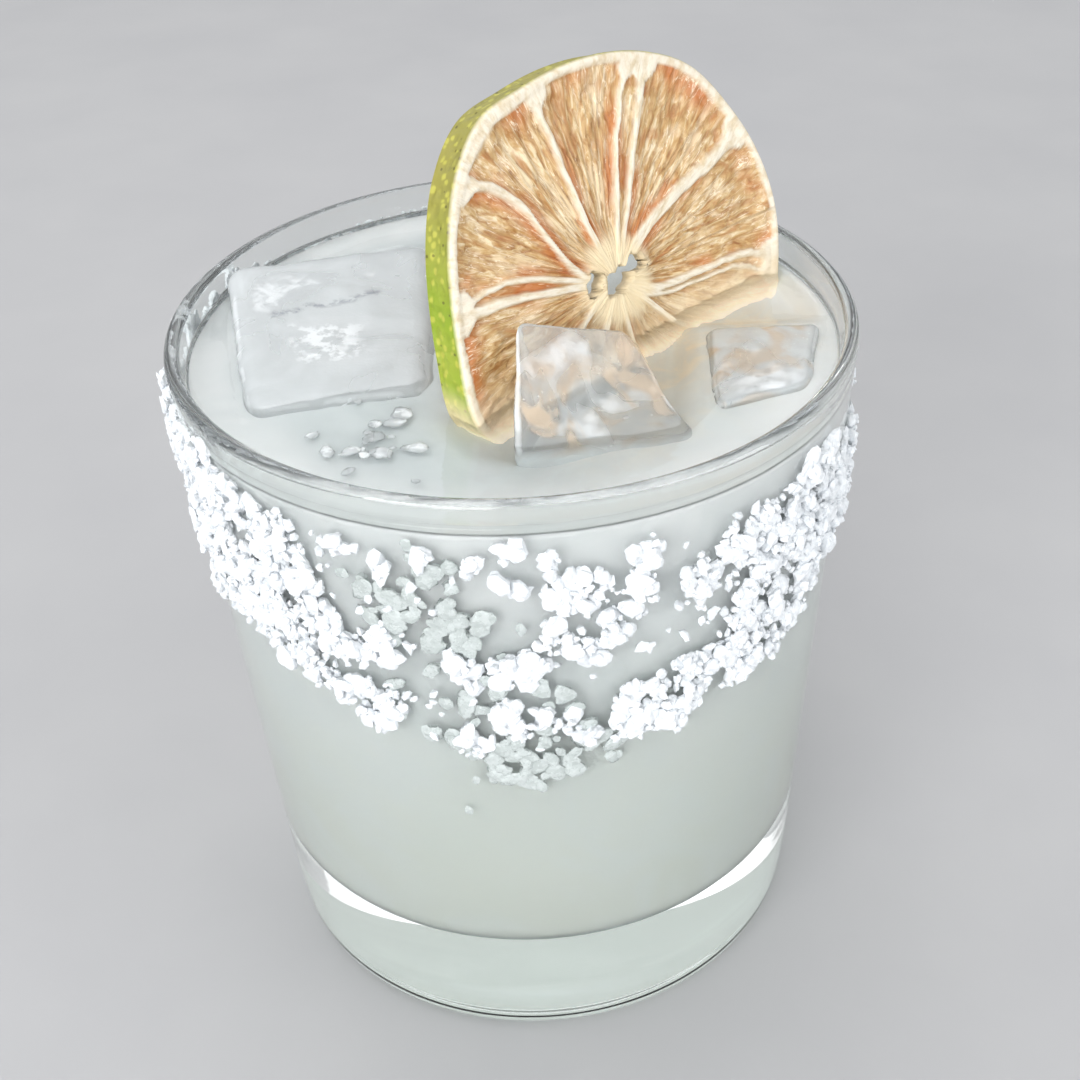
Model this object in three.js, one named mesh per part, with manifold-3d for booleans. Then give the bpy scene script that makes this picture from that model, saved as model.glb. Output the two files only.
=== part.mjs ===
import * as THREE from 'three';
import { RoundedBoxGeometry } from 'three/addons/geometries/RoundedBoxGeometry.js';
import { mergeVertices } from 'three/addons/utils/BufferGeometryUtils.js';
import Module from 'manifold-3d';

// A margarita in a heavy-based rocks glass: drink, three pieces of ice, a dried lime wheel
// and a crust of coarse salt round the outside of the rim.
// Millimetres, +Z up. The origin is the centre of the foot, on the surface that the glass stands on.
// The front of the glass faces -Y.

// Glass
const RIM_RADIUS = 45;
const FOOT_CONE_RADIUS = 39.4;
const GLASS_HEIGHT = 98;
const WALL_AT_RIM = 2.0;
const WALL_AT_FLOOR = 2.6;
const BASE_THICKNESS = 19;
const HEEL_ROUNDING = 4;
const FLOOR_ROUNDING = 4.5;
const RECESS_RADIUS = 31;
const RECESS_DEPTH = 0.8;
const GLASS_SEGMENTS = 48;

// Drink
const DRINK_LEVEL = 93.6;
const GAP = 0.3;

// Salt crust: heights of its upper and lower edge, by compass angle.
// Angle 0 is the front, and angles grow towards +X.
const CRUST_EDGES = [
  { angle: -180, top: 95.0, bottom: 64.5 },
  { angle: -120, top: 96.3, bottom: 65.5 },
  { angle: -70, top: 96.8, bottom: 65.0 },
  { angle: -57, top: 95.8, bottom: 67.5 },
  { angle: -45, top: 94.5, bottom: 66.5 },
  { angle: -30, top: 93.5, bottom: 61.5 },
  { angle: 0, top: 93.0, bottom: 56.5 },
  { angle: 30, top: 93.0, bottom: 59.5 },
  { angle: 48, top: 92.5, bottom: 61.0 },
  { angle: 60, top: 90.5, bottom: 67.5 },
  { angle: 72, top: 87.5, bottom: 70.0 },
  { angle: 90, top: 89.0, bottom: 69.0 },
  { angle: 130, top: 94.0, bottom: 65.5 },
  { angle: 180, top: 95.0, bottom: 64.5 },
];
const CRUST_CLUMPS = 205;
const CRUST_WIDEST = 7.8;
const CRUST_NARROWEST = 4.2;
const CRUST_SPACING = 0.6;
const CLUMP_SUNK = 1.0;
const CLUMP_PROUD = 1.6;
const CRUST_SEED = 20;
// The front is thinly salted between these angles and above this height, with small clumps.
const THIN_FROM = -31;
const THIN_TO = 29;
const THIN_ABOVE = 68;
const THIN_MIDDLE_FROM = -14;
const THIN_MIDDLE_TO = 13;
const THIN_SHARE = 0.3;
const THIN_SCALE = 0.6;

// The largest clumps that stand alone on the front.
const FRONT_CLUMPS = [
  { angle: -2.6, height: 91.4, wide: 3.0, tall: 4.2 },
  { angle: -8.0, height: 89.0, wide: 3.4, tall: 3.2 },
  { angle: 3.6, height: 89.2, wide: 2.4, tall: 6.0 },
  { angle: 17.2, height: 88.4, wide: 4.0, tall: 6.0 },
  { angle: 7.0, height: 84.6, wide: 7.4, tall: 6.6 },
  { angle: 16.4, height: 82.8, wide: 4.6, tall: 6.2 },
  { angle: 3.6, height: 79.5, wide: 2.9, tall: 4.8 },
  { angle: 12.6, height: 78.2, wide: 3.4, tall: 6.0 },
  { angle: 26.2, height: 81.4, wide: 5.6, tall: 8.4 },
  { angle: -4.0, height: 73.6, wide: 7.6, tall: 5.8 },
  { angle: -22.6, height: 75.8, wide: 4.8, tall: 6.6 },
  { angle: -3.4, height: 64.2, wide: 4.6, tall: 3.8 },
];

// Lime wheel: an off-round slice that leans back, its core well above the drink.
const WHEEL_CORE = new THREE.Vector3(13.89, -1.65, 102.23);
const WHEEL_ALONG = new THREE.Vector3(0.7483, 0.6634, 0).normalize();
const WHEEL_LEAN = THREE.MathUtils.degToRad(20);
const WHEEL_THICKNESS = 5.4;
const WHEEL_EDGE_ROUNDING = 0.9;
const WHEEL_RIND_AND_PITH = 2.5;
const WHEEL_MEMBRANE_DROP = 0.25;
const WHEEL_PULP_DROP = 0.9;
const WHEEL_CORE_RADIUS = 5;
// Distance from the core to the skin every 15 degrees, from the right side anticlockwise.
const WHEEL_OUTLINE = [
  32.0, 32.0, 31.5, 31.3, 29.8, 28.5, 27.8, 27.9, 29.1, 28.5, 27.5, 27.0,
  27.5, 29.2, 29.6, 29.4, 29.0, 28.5, 28.4, 28.6, 29.0, 29.6, 30.1, 31.0,
];
// Angles of the walls between the segments, round the core.
const WHEEL_MEMBRANES = [-14, 24, 62, 103, 136, 169, 203, 238, 274, 311];
const WHEEL_MEMBRANE_HALF_ANGLE = 3;
const WHEEL_CORE_HOLES = [
  { across: -3.8, up: 0.9, radius: 1.3 },
  { across: 0.2, up: -0.1, radius: 1.7 },
  { across: 3.9, up: 1.2, radius: 1.3 },
];

// Ice: each piece is a softened block between eight corners, lower four first,
// anticlockwise from the left front.
const ICE_ROUNDING = 0.22;
const ICE_LEFT = [
  [-29.0, -13.0, 70.0], [-10.5, -12.0, 72.0], [-9.5, 24.0, 70.0], [-33.0, 23.5, 69.0],
  [-34.0, -17.5, 94.8], [-10.5, -13.8, 94.3], [-11.0, 27.8, 96.6], [-40.4, 17.0, 98.6],
];
const ICE_FRONT = [
  [2.0, -34.0, 80.0], [19.5, -29.0, 79.0], [19.0, -11.8, 78.0], [4.6, -24.6, 78.0],
  [-1.2, -28.4, 92.0], [22.8, -28.2, 91.5], [14.3, -8.3, 99.4], [-0.5, -14.2, 105.6],
];
const ICE_RIGHT = [
  [26.0, -18.0, 74.0], [36.0, -14.0, 74.0], [37.0, -1.0, 75.0], [26.5, -4.0, 75.0],
  [24.0, -20.8, 94.4], [36.6, -16.6, 94.6], [41.0, -0.5, 94.9], [25.2, 0.2, 94.4],
];

const wasm = await Module();
wasm.setup();

function toSolid(geometry) {
  const bare = new THREE.BufferGeometry();
  bare.setAttribute('position', geometry.getAttribute('position').clone());
  if (geometry.getIndex()) {
    bare.setIndex(geometry.getIndex().clone());
  }
  const merged = mergeVertices(bare, 1e-4);
  const index = Array.from(merged.getIndex().array);
  const faces = [];
  for (let i = 0; i < index.length; i += 3) {
    const [a, b, c] = index.slice(i, i + 3);
    if (a !== b && b !== c && c !== a) {
      faces.push(a, b, c);
    }
  }
  return new wasm.Manifold(new wasm.Mesh({
    numProp: 3,
    vertProperties: new Float32Array(merged.getAttribute('position').array),
    triVerts: new Uint32Array(faces),
  }));
}

function toGeometry(solid) {
  const result = solid.getMesh();
  const geometry = new THREE.BufferGeometry();
  geometry.setAttribute('position', new THREE.BufferAttribute(result.vertProperties, 3));
  geometry.setIndex(new THREE.BufferAttribute(result.triVerts, 1));
  const flat = geometry.toNonIndexed();
  flat.computeVertexNormals();
  return flat;
}

function makeRandom(seed) {
  let state = seed;
  return () => {
    state = (state * 1664525 + 1013904223) % 4294967296;
    return state / 4294967296;
  };
}

function arcPoints(centreX, centreZ, radius, from, to, steps) {
  const points = [];
  for (let i = 0; i <= steps; i += 1) {
    const angle = THREE.MathUtils.degToRad(from + ((to - from) * i) / steps);
    points.push(new THREE.Vector2(
      centreX + radius * Math.cos(angle),
      centreZ + radius * Math.sin(angle),
    ));
  }
  return points;
}

function outerRadius(z) {
  return FOOT_CONE_RADIUS + ((RIM_RADIUS - FOOT_CONE_RADIUS) * z) / GLASS_HEIGHT;
}

function innerRadius(z) {
  const share = (z - BASE_THICKNESS) / (GLASS_HEIGHT - BASE_THICKNESS);
  return outerRadius(z) - THREE.MathUtils.lerp(WALL_AT_FLOOR, WALL_AT_RIM, share);
}

// Turned shapes are made round the Y axis and then stood up along Z.
function turned(profile) {
  const lathe = new THREE.LatheGeometry(profile, GLASS_SEGMENTS);
  lathe.rotateX(Math.PI / 2);
  return toSolid(lathe);
}

function makeGlassBody() {
  const half = WALL_AT_RIM / 2;
  const floorCorner = innerRadius(BASE_THICKNESS + FLOOR_ROUNDING) - FLOOR_ROUNDING;
  const profile = [
    new THREE.Vector2(0, RECESS_DEPTH),
    new THREE.Vector2(RECESS_RADIUS, RECESS_DEPTH),
    new THREE.Vector2(RECESS_RADIUS + 1.6, 0),
    ...arcPoints(outerRadius(0) - HEEL_ROUNDING, HEEL_ROUNDING, HEEL_ROUNDING, -90, 2, 4),
    ...arcPoints(RIM_RADIUS - half, GLASS_HEIGHT - half, half, 0, 180, 6),
    ...arcPoints(floorCorner, BASE_THICKNESS + FLOOR_ROUNDING, FLOOR_ROUNDING, 0, -90, 3),
    new THREE.Vector2(0, BASE_THICKNESS),
  ];
  return turned(profile);
}

// Salt is set out by compass angle from the front and by height on the outer wall.
function clumpSolid(random, { angle, height, wide, tall }) {
  const lump = new THREE.CylinderGeometry(0.62, 1, 2, 5, 1);
  lump.deleteAttribute('normal');
  lump.deleteAttribute('uv');
  const shape = mergeVertices(lump);
  const position = shape.getAttribute('position');
  const turn = random() * Math.PI * 2;
  const depth = (CLUMP_PROUD + CLUMP_SUNK) / 2;
  const proud = depth * (0.9 + 0.3 * random());
  for (let i = 0; i < position.count; i += 1) {
    const corner = new THREE.Vector3().fromBufferAttribute(position, i);
    const reach = 0.86 + 0.4 * random();
    corner.applyAxisAngle(new THREE.Vector3(0, 1, 0), turn);
    position.setXYZ(
      i,
      corner.y * proud,
      (corner.z * reach * wide) / 2,
      (corner.x * reach * tall) / 2,
    );
  }
  const out = outerRadius(height) + (CLUMP_PROUD - CLUMP_SUNK) / 2;
  const compass = THREE.MathUtils.degToRad(angle - 90);
  shape.rotateZ(compass);
  shape.translate(out * Math.cos(compass), out * Math.sin(compass), height);
  return toSolid(shape);
}

function crustEdge(angle, side) {
  let next = 1;
  while (CRUST_EDGES[next].angle < angle) {
    next += 1;
  }
  const before = CRUST_EDGES[next - 1];
  const after = CRUST_EDGES[next];
  const share = (angle - before.angle) / (after.angle - before.angle);
  return THREE.MathUtils.lerp(before[side], after[side], share);
}

// Share of a full crust's salt at a place on the wall.
function crustShare(angle, height) {
  const onFront = angle > THIN_FROM && angle < THIN_TO;
  const inMiddle = angle > THIN_MIDDLE_FROM && angle < THIN_MIDDLE_TO;
  return inMiddle || (onFront && height > THIN_ABOVE) ? THIN_SHARE : 1;
}

function distanceOnWall(a, b) {
  const turn = Math.abs(a.angle - b.angle);
  const across = THREE.MathUtils.degToRad(Math.min(turn, 360 - turn)) * outerRadius(a.height);
  return Math.hypot(across, a.height - b.height);
}

function spreadCrust(random) {
  const clumps = [...FRONT_CLUMPS];
  const wanted = CRUST_CLUMPS + FRONT_CLUMPS.length;
  let misses = 0;
  while (clumps.length < wanted && misses < 4000) {
    const size = THREE.MathUtils.lerp(CRUST_WIDEST, CRUST_NARROWEST, clumps.length / wanted);
    const angle = -180 + 360 * random();
    const place = random();
    const rough = THREE.MathUtils.lerp(crustEdge(angle, 'bottom'), crustEdge(angle, 'top'), place);
    const share = crustShare(angle, rough);
    const wide = share < 1 ? size * THIN_SCALE : size;
    const tall = wide * (0.75 + 0.5 * random());
    const height = THREE.MathUtils.lerp(
      crustEdge(angle, 'bottom') + tall / 2,
      crustEdge(angle, 'top') - tall / 2,
      place,
    );
    const clump = { angle, height, wide, tall };
    const tooNear = clumps.some((other) => (
      distanceOnWall(clump, other) < (CRUST_SPACING * (wide + other.wide)) / 2
    ));
    if (tooNear || random() > share) {
      misses += 1;
    } else {
      clumps.push(clump);
      misses = 0;
    }
  }
  return clumps;
}

function makeGlass() {
  const random = makeRandom(CRUST_SEED);
  const clumps = spreadCrust(random);
  let glass = makeGlassBody();
  for (const clump of clumps) {
    glass = glass.add(clumpSolid(random, clump));
  }
  return glass;
}

function outlineRadius(angle) {
  const step = 360 / WHEEL_OUTLINE.length;
  const place = (((angle % 360) + 360) % 360) / step;
  const count = WHEEL_OUTLINE.length;
  const near = [-1, 0, 1, 2].map((k) => WHEEL_OUTLINE[(Math.floor(place) + k + count) % count]);
  const t = place - Math.floor(place);
  const curve = new THREE.CatmullRomCurve3(
    near.map((radius, k) => new THREE.Vector3(k, radius, 0)),
    false,
    'catmullrom',
    0.5,
  );
  return curve.getPoint((1 + t) / 3).y;
}

// Columns of the wheel: the two flanks and the crest of each wall, and one on the pulp between.
function wheelColumns() {
  const columns = [];
  WHEEL_MEMBRANES.forEach((angle, k) => {
    const last = k === WHEEL_MEMBRANES.length - 1;
    const following = last ? WHEEL_MEMBRANES[0] + 360 : WHEEL_MEMBRANES[k + 1];
    const from = angle + WHEEL_MEMBRANE_HALF_ANGLE;
    const span = following - WHEEL_MEMBRANE_HALF_ANGLE - from;
    columns.push({ angle, wall: 1 });
    columns.push({ angle: from, wall: 0 });
    columns.push({ angle: from + span / 2, wall: 0 });
    columns.push({ angle: from + span, wall: 0 });
  });
  return columns;
}

// The wheel lies in its own plane, X along and Y up the slice, and Z out of its shown face.
function makeWheel(extra) {
  const half = WHEEL_THICKNESS / 2 + extra;
  const crest = half - WHEEL_MEMBRANE_DROP;
  const pulp = extra > 0 ? half : half - WHEEL_PULP_DROP;
  const positions = [];
  const faces = [];
  const columns = wheelColumns();
  const rings = [];
  for (const { angle, wall } of columns) {
    const edge = outlineRadius(angle) + extra;
    const inner = edge - WHEEL_RIND_AND_PITH - extra;
    const low = wall ? crest : pulp;
    const ring = [
      [WHEEL_CORE_RADIUS, crest],
      [WHEEL_CORE_RADIUS + 3, low],
      [inner * 0.62, low],
      [inner - 0.8, low],
      [inner, half],
      [edge - WHEEL_EDGE_ROUNDING, half],
      [edge, half - WHEEL_EDGE_ROUNDING],
    ];
    const turn = THREE.MathUtils.degToRad(angle);
    rings.push(ring.map(([radius, z]) => [radius * Math.cos(turn), radius * Math.sin(turn), z]));
  }
  const rows = rings[0].length;
  const count = columns.length;
  for (const side of [1, -1]) {
    const first = positions.length / 3;
    positions.push(0, 0, side * crest);
    for (const ring of rings) {
      for (const [x, y, z] of ring) {
        positions.push(x, y, side * z);
      }
    }
    for (let k = 0; k < count; k += 1) {
      const here = first + 1 + k * rows;
      const there = first + 1 + ((k + 1) % count) * rows;
      const add = (a, b, c) => faces.push(...(side > 0 ? [a, b, c] : [a, c, b]));
      add(first, here, there);
      for (let r = 0; r < rows - 1; r += 1) {
        add(here + r, here + r + 1, there + r);
        add(there + r, here + r + 1, there + r + 1);
      }
    }
  }
  const back = positions.length / 6;
  for (let k = 0; k < count; k += 1) {
    const here = 1 + k * rows + rows - 1;
    const there = 1 + ((k + 1) % count) * rows + rows - 1;
    faces.push(here, here + back, there);
    faces.push(there, here + back, there + back);
  }
  const geometry = new THREE.BufferGeometry();
  geometry.setAttribute('position', new THREE.Float32BufferAttribute(positions, 3));
  geometry.setIndex(faces);
  let wheel = toSolid(geometry);
  if (extra === 0) {
    for (const { across, up, radius } of WHEEL_CORE_HOLES) {
      const hole = new THREE.CylinderGeometry(radius, radius, WHEEL_THICKNESS * 2, 7);
      hole.rotateX(Math.PI / 2);
      hole.translate(across, up, 0);
      wheel = wheel.subtract(toSolid(hole));
    }
  }
  return toGeometry(wheel);
}

function wheelPlacement() {
  const level = new THREE.Vector3().crossVectors(WHEEL_ALONG, new THREE.Vector3(0, 0, 1));
  const out = level.multiplyScalar(Math.cos(WHEEL_LEAN));
  out.z = Math.sin(WHEEL_LEAN);
  const up = new THREE.Vector3().crossVectors(out, WHEEL_ALONG);
  const middle = WHEEL_CORE.clone().addScaledVector(out, -WHEEL_THICKNESS / 2);
  return new THREE.Matrix4().makeBasis(WHEEL_ALONG, up, out).setPosition(middle);
}

function makeIce(corners, extra) {
  const block = new RoundedBoxGeometry(2, 2, 2, 1, ICE_ROUNDING);
  const points = corners.map((corner) => new THREE.Vector3(...corner));
  const centre = new THREE.Vector3();
  points.forEach((point) => centre.addScaledVector(point, 1 / points.length));
  const position = block.getAttribute('position');
  const order = [[-1, -1], [1, -1], [1, 1], [-1, 1]];
  for (let i = 0; i < position.count; i += 1) {
    const place = new THREE.Vector3();
    points.forEach((point, k) => {
      const [sideX, sideY] = order[k % 4];
      const sideZ = k < 4 ? -1 : 1;
      const share = (1 + sideX * position.getX(i))
        * (1 + sideY * position.getY(i))
        * (1 + sideZ * position.getZ(i));
      place.addScaledVector(point, share / 8);
    });
    place.sub(centre).multiplyScalar(1 + extra).add(centre);
    position.setXYZ(i, place.x, place.y, place.z);
  }
  return toSolid(block);
}

function makeDrink(fillers) {
  const floor = BASE_THICKNESS + GAP;
  const corner = innerRadius(floor + FLOOR_ROUNDING) - GAP - FLOOR_ROUNDING;
  const profile = [
    new THREE.Vector2(0, floor),
    ...arcPoints(corner, floor + FLOOR_ROUNDING, FLOOR_ROUNDING, -90, 0, 3),
    new THREE.Vector2(innerRadius(DRINK_LEVEL) - GAP, DRINK_LEVEL),
    new THREE.Vector2(0, DRINK_LEVEL),
  ];
  let drink = turned(profile);
  for (const filler of fillers) {
    drink = drink.subtract(filler);
  }
  return drink;
}

const placement = wheelPlacement();
const wheelRoom = makeWheel(0.35).applyMatrix4(placement);
const pieces = [
  ['ice_left', ICE_LEFT],
  ['ice_front', ICE_FRONT],
  ['ice_right', ICE_RIGHT],
];

const glassMaterial = new THREE.MeshStandardMaterial({
  color: 0xdfe8e2,
  roughness: 0.05,
  metalness: 0,
  transparent: true,
  opacity: 0.45,
});
const drinkMaterial = new THREE.MeshStandardMaterial({
  color: 0xced6cd,
  roughness: 0.3,
  metalness: 0,
});
const limeMaterial = new THREE.MeshStandardMaterial({
  color: 0xb98a4a,
  roughness: 0.55,
  metalness: 0,
});

const margarita = new THREE.Group();

const glass = new THREE.Mesh(toGeometry(makeGlass()), glassMaterial);
glass.name = 'glass';
margarita.add(glass);

const fillers = [toSolid(wheelRoom)];
for (const [name, corners] of pieces) {
  const iceMaterial = new THREE.MeshStandardMaterial({
    color: 0xe4ebec,
    roughness: 0.12,
    metalness: 0,
    transparent: true,
    opacity: 0.6,
  });
  const ice = new THREE.Mesh(toGeometry(makeIce(corners, 0)), iceMaterial);
  ice.name = name;
  margarita.add(ice);
  fillers.push(makeIce(corners, 0.045));
}

const drink = new THREE.Mesh(toGeometry(makeDrink(fillers)), drinkMaterial);
drink.name = 'drink';
margarita.add(drink);

const limeWheel = new THREE.Mesh(makeWheel(0), limeMaterial);
limeWheel.name = 'lime_wheel';
placement.decompose(limeWheel.position, limeWheel.quaternion, limeWheel.scale);
margarita.add(limeWheel);

export default margarita;
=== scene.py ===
import math

import bmesh
import bpy
import numpy as np
from mathutils import Matrix, Vector


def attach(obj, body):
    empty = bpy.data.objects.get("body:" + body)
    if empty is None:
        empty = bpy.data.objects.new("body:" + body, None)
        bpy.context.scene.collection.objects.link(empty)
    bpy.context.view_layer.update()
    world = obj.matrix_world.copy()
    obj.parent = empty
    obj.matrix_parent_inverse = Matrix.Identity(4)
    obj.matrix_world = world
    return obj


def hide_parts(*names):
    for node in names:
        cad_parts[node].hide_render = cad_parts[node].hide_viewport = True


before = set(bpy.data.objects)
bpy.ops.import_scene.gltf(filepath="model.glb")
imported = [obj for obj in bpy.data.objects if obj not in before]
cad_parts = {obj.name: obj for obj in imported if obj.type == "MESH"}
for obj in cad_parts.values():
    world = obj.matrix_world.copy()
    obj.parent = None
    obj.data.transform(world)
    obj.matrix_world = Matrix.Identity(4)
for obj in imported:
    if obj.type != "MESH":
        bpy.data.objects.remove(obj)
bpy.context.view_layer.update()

# Sizes are in millimetres, as in the part's source. They turn into metres where a mesh is made.
MM = 0.001

# Glass
RIM_RADIUS = 45.0
FOOT_CONE_RADIUS = 39.4
GLASS_HEIGHT = 98.0
WALL_AT_RIM = 2.0
WALL_AT_FLOOR = 2.6
BASE_THICKNESS = 19.0
HEEL_ROUNDING = 4.0
FLOOR_ROUNDING = 4.5
RECESS_RADIUS = 31.0
RECESS_DEPTH = 0.8
# Of the recess's rounded edge: distance outside its radius, and share of its depth.
RECESS_EDGE = ((0, 1), (0.7, 0.6), (1.6, 0))
GLASS_COLUMNS = 192
ARC_STEPS = 12
OUTSIDE_HEIGHTS = range(8, 97, 4)
INSIDE_HEIGHTS = range(94, 26, -4)

# Drink
DRINK_LEVEL = 93.6
INTO_WALL = 0.15
DRINK_COLUMNS = 240
DRINK_TOP_ROWS = 90
DRINK_HEIGHTS = range(28, 93, 4)
# Above 1, the top's rings crowd towards the wall.
TOP_CROWDING = 1.25
# How high the drink rises at what it touches, and how far out.
RISE_AT_WALL = (0.7, 0.9)
RISE_AT_WHEEL = (0.7, 1.1)
RISE_AT_ICE = (0.65, 1.3)
RIPPLES = 0.06
# How far below the level the drink turns cloudy: in the open, beside ice and at the wall.
CLEAR_DEPTH = 1.1
CLEAR_AT_ICE = 0.5
CLEAR_AT_WALL = 0.45
# How much farther it is clear in front of the wheel and behind it: depth, distance from the
# face, width, and where along the wheel it ends and is whole.
CLEAR_BY_WHEEL = ((3.4, 3, 8, 33, 25), (1.5, -9, 5, 30, 24))
SURFACE_OVERLAP = 0.25

# Salt crust. Angle 0 is the front and grows to the right. Of each edge point: angle, top, bottom.
CRUST_EDGES = (
    (-180, 95, 64.5),
    (-120, 96.3, 65.5),
    (-70, 96.8, 65),
    (-57, 95.8, 67.5),
    (-45, 94.5, 66.5),
    (-30, 93.5, 61.5),
    (0, 93, 56.5),
    (30, 93, 59.5),
    (48, 92.5, 61),
    (60, 90.5, 67.5),
    (72, 87.5, 70),
    (90, 89, 69),
    (130, 94, 65.5),
    (180, 95, 64.5),
)
# Of each clump: angle, height, width and height.
FRONT_CLUMPS = (
    (-2.6, 91.4, 3, 4.2),
    (-8, 89, 3.4, 3.2),
    (3.6, 89.2, 2.4, 6),
    (17.2, 88.4, 4, 6),
    (7, 84.6, 7.4, 6.6),
    (16.4, 82.8, 4.6, 6.2),
    (3.6, 79.5, 2.9, 4.8),
    (12.6, 78.2, 3.4, 6),
    (26.2, 81.4, 5.6, 8.4),
    (-4, 73.6, 7.6, 5.8),
    (-22.6, 75.8, 4.8, 6.6),
    (-3.4, 64.2, 4.6, 3.8),
)
CRUST_CLUMPS = 205
CRUST_WIDEST = 7.8
CRUST_NARROWEST = 4.2
CRUST_SPACING = 0.6
CRUST_SEED = 20
MOST_MISSES = 4000
THIN_FROM = -31
THIN_TO = 29
THIN_ABOVE = 68
THIN_MIDDLE_FROM = -14
THIN_MIDDLE_TO = 13
THIN_SHARE = 0.3
THIN_SCALE = 0.6
CRUST_REACH = 46.25
CRUST_RIGHT = 45.93
FILL_GRAINS = 2600
STRAY_SHARE = 0.14
# Layers of a clump: share of its width, distance between grains and height above the wall.
FLAKE_LAYERS = ((0.95, 1.75, 0.2), (0.66, 1.9, 0.85))
GRAIN_LAYERS = ((1.12, 1.9, 0.15), (0.9, 1.9, 1.15))
FLAKE_RADII = (0.75, 1.4)
GRAIN_RADII = (0.35, 0.7)
FILL_RADII = (0.4, 0.85)
# A grain's roughness: pitch and height of its waves, and height of its grit.
GRAIN_WAVES = ((1.7, 0.16), (3.1, 0.13), (5.3, 0.07))
GRAIN_GRIT = 0.06
GRAIN_LENGTHS = (0.95, 1.35)
GRAIN_WIDTHS = (0.7, 1.0)
FULL_TURN = 6.28
# Damp salt: angle, height, width and height of each patch.
WET_PATCHES = ((-12, 82, 9, 8), (-9, 71, 9, 9), (2, 61, 10, 6), (-20, 84, 7, 6), (-3, 57, 8, 3))
WET_GRAINS = 24
WET_RADII = (0.6, 1.6)
WET_SEED = 7

# Lime wheel. Its face is a plane with the core at its origin.
WHEEL_CORE = np.array((13.89, -1.65, 102.23))
WHEEL_ALONG = np.array((0.7483, 0.6634, 0.0))
WHEEL_UP = np.array((-0.2269, 0.2559, 0.9397))
WHEEL_OUT = np.array((0.6234, -0.7032, 0.342))
WHEEL_THICKNESS = 5.4
WHEEL_EDGE = 0.9
WHEEL_OUTLINE = (
    32, 32, 31.5, 31.3, 29.8, 28.5, 27.8, 27.9, 29.1, 28.5, 27.5, 27,
    27.5, 29.2, 29.6, 29.4, 29, 28.5, 28.4, 28.6, 29, 29.6, 30.1, 31,
)
CORE_HOLES = ((-3.8, 0.9, 1.3), (0.2, -0.1, 1.7), (3.9, 1.2, 1.3))
CORE_HOLLOW = 2.6
WHEEL_COLUMNS = 480
WHEEL_ROWS = 72
WHEEL_MIDDLE = 0.5
# Below 1, the face's rings crowd towards the rim.
WHEEL_CROWDING = 0.85
# Half the wheel's width at the drink's level.
WHEEL_AT_LEVEL = 27
# The white pith's thickness, and how much more it has between two angles, with the most between.
PITH = 1.3
PITH_BROAD = 0.8
PITH_BROAD_AT = (95, 115, 160)
# Heights between which the rind turns dry.
DRY_TOP = (104.0, 121.0)
EDGE_STEPS = 5
SKIN_STEPS = 12
# Juice cells: degrees across each, length, and number round the wheel.
CELL_DEGREES = 3.1
CELL_LENGTH = 7.5
CELLS_ROUND = 116
# The radius at which a degree on the face is as long as it is in the pulp's pattern.
PATTERN_RADIUS = 26
# Each membrane's angle at the ring, halfway and at the core, and its half width at the same places.
MEMBRANES = (
    (101.5, 104, 107, 0.75, 0.42, 0.5),
    (66, 70, 68, 0.5, 0.38, 0.4),
    (60, 60, 58, 0.9, 0.5, 0.5),
    (22.5, 26.6, 37, 1.1, 1.0, 0.8),
    (-12, -13, -30, 0.7, 0.5, 0.9),
    (-17, -17, -38, 0.5, 0.3, 0.5),
    (137, 132, 158, 0.8, 0.5, 0.6),
    (171, 168, 168, 0.9, 0.6, 0.6),
    (168, 160, 161, 0.4, 0.4, 0.4),
    (206, 210, 200, 0.6, 0.4, 0.5),
    (238, 236, 232, 0.6, 0.4, 0.5),
    (274, 272, 268, 0.6, 0.4, 0.5),
    (312, 312, 317, 0.7, 0.5, 0.6),
)

# Ice. Corners go round each layer, the lower four first.
ICE_ROUNDING = 0.22
ICE_CORNERS = {
    "ice_left": (
        (-29, -13, 70), (-10.5, -12, 72), (-9.5, 24, 70), (-33, 23.5, 69),
        (-34, -17.5, 94.8), (-10.5, -13.8, 94.3), (-11, 27.8, 96.6), (-40.4, 17, 98.6),
    ),
    "ice_front": (
        (2, -34, 80), (19.5, -29, 79), (19, -11.8, 78), (4.6, -24.6, 78),
        (-1.2, -28.4, 92), (22.8, -28.2, 91.5), (14.3, -8.3, 99.4), (-0.5, -14.2, 105.6),
    ),
    "ice_right": (
        (26, -18, 74), (36, -14, 74), (37, -1, 75), (26.5, -4, 75),
        (24, -20.8, 94.4), (36.6, -16.6, 94.6), (41, -0.5, 94.9), (25.2, 0.2, 94.4),
    ),
}
# The cubes that the drink rises against.
CUBES_AT_LEVEL = ("ice_left", "ice_right")
ICE_STEPS = 36
ICE_DENTS = 0.45
ICE_FINE_DENTS = 0.12
MERGE_WITHIN = 0.01
# Of each cube: seed of its dents, and how milky it is.
ICE_LOOKS = {"ice_left": (11, 0.62), "ice_front": (12, 0.2), "ice_right": (13, 0.45)}
FROST_PLACE = (-24.3, -2.0)
FROST_SIZE = (8.5, 7.5)
CRACK_START = (-31.8, 4.5)
CRACK_END = (-18.6, 10.3)
CRACK_WANDER = 0.9
# Slivers of ice afloat: middle, spread and number of each group.
SHARD_GROUPS = ((-17.8, -24.5, 2.6, 20), (-14.8, -18.2, 1.0, 5))
SHARD_RADII = (0.35, 1.25)
SHARD_SEED = 3

# Stage. Of each light: place, size and power, in metres and watts.
LIGHTS = {
    "top_light": ((-0.25, 0.1, 0.75), (0.7, 0.7), 1.5),
    "rear_light": ((0.2, 1.5, 1.4), (2.8, 1.3), 8.0),
    "front_light": ((-0.4, -0.75, 0.35), (0.6, 0.5), 7.0),
    "side_light": ((0.75, -0.45, 0.3), (0.6, 0.5), 3.0),
}
LIGHT_AIM = (0.0, 0.0, 0.06)
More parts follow.
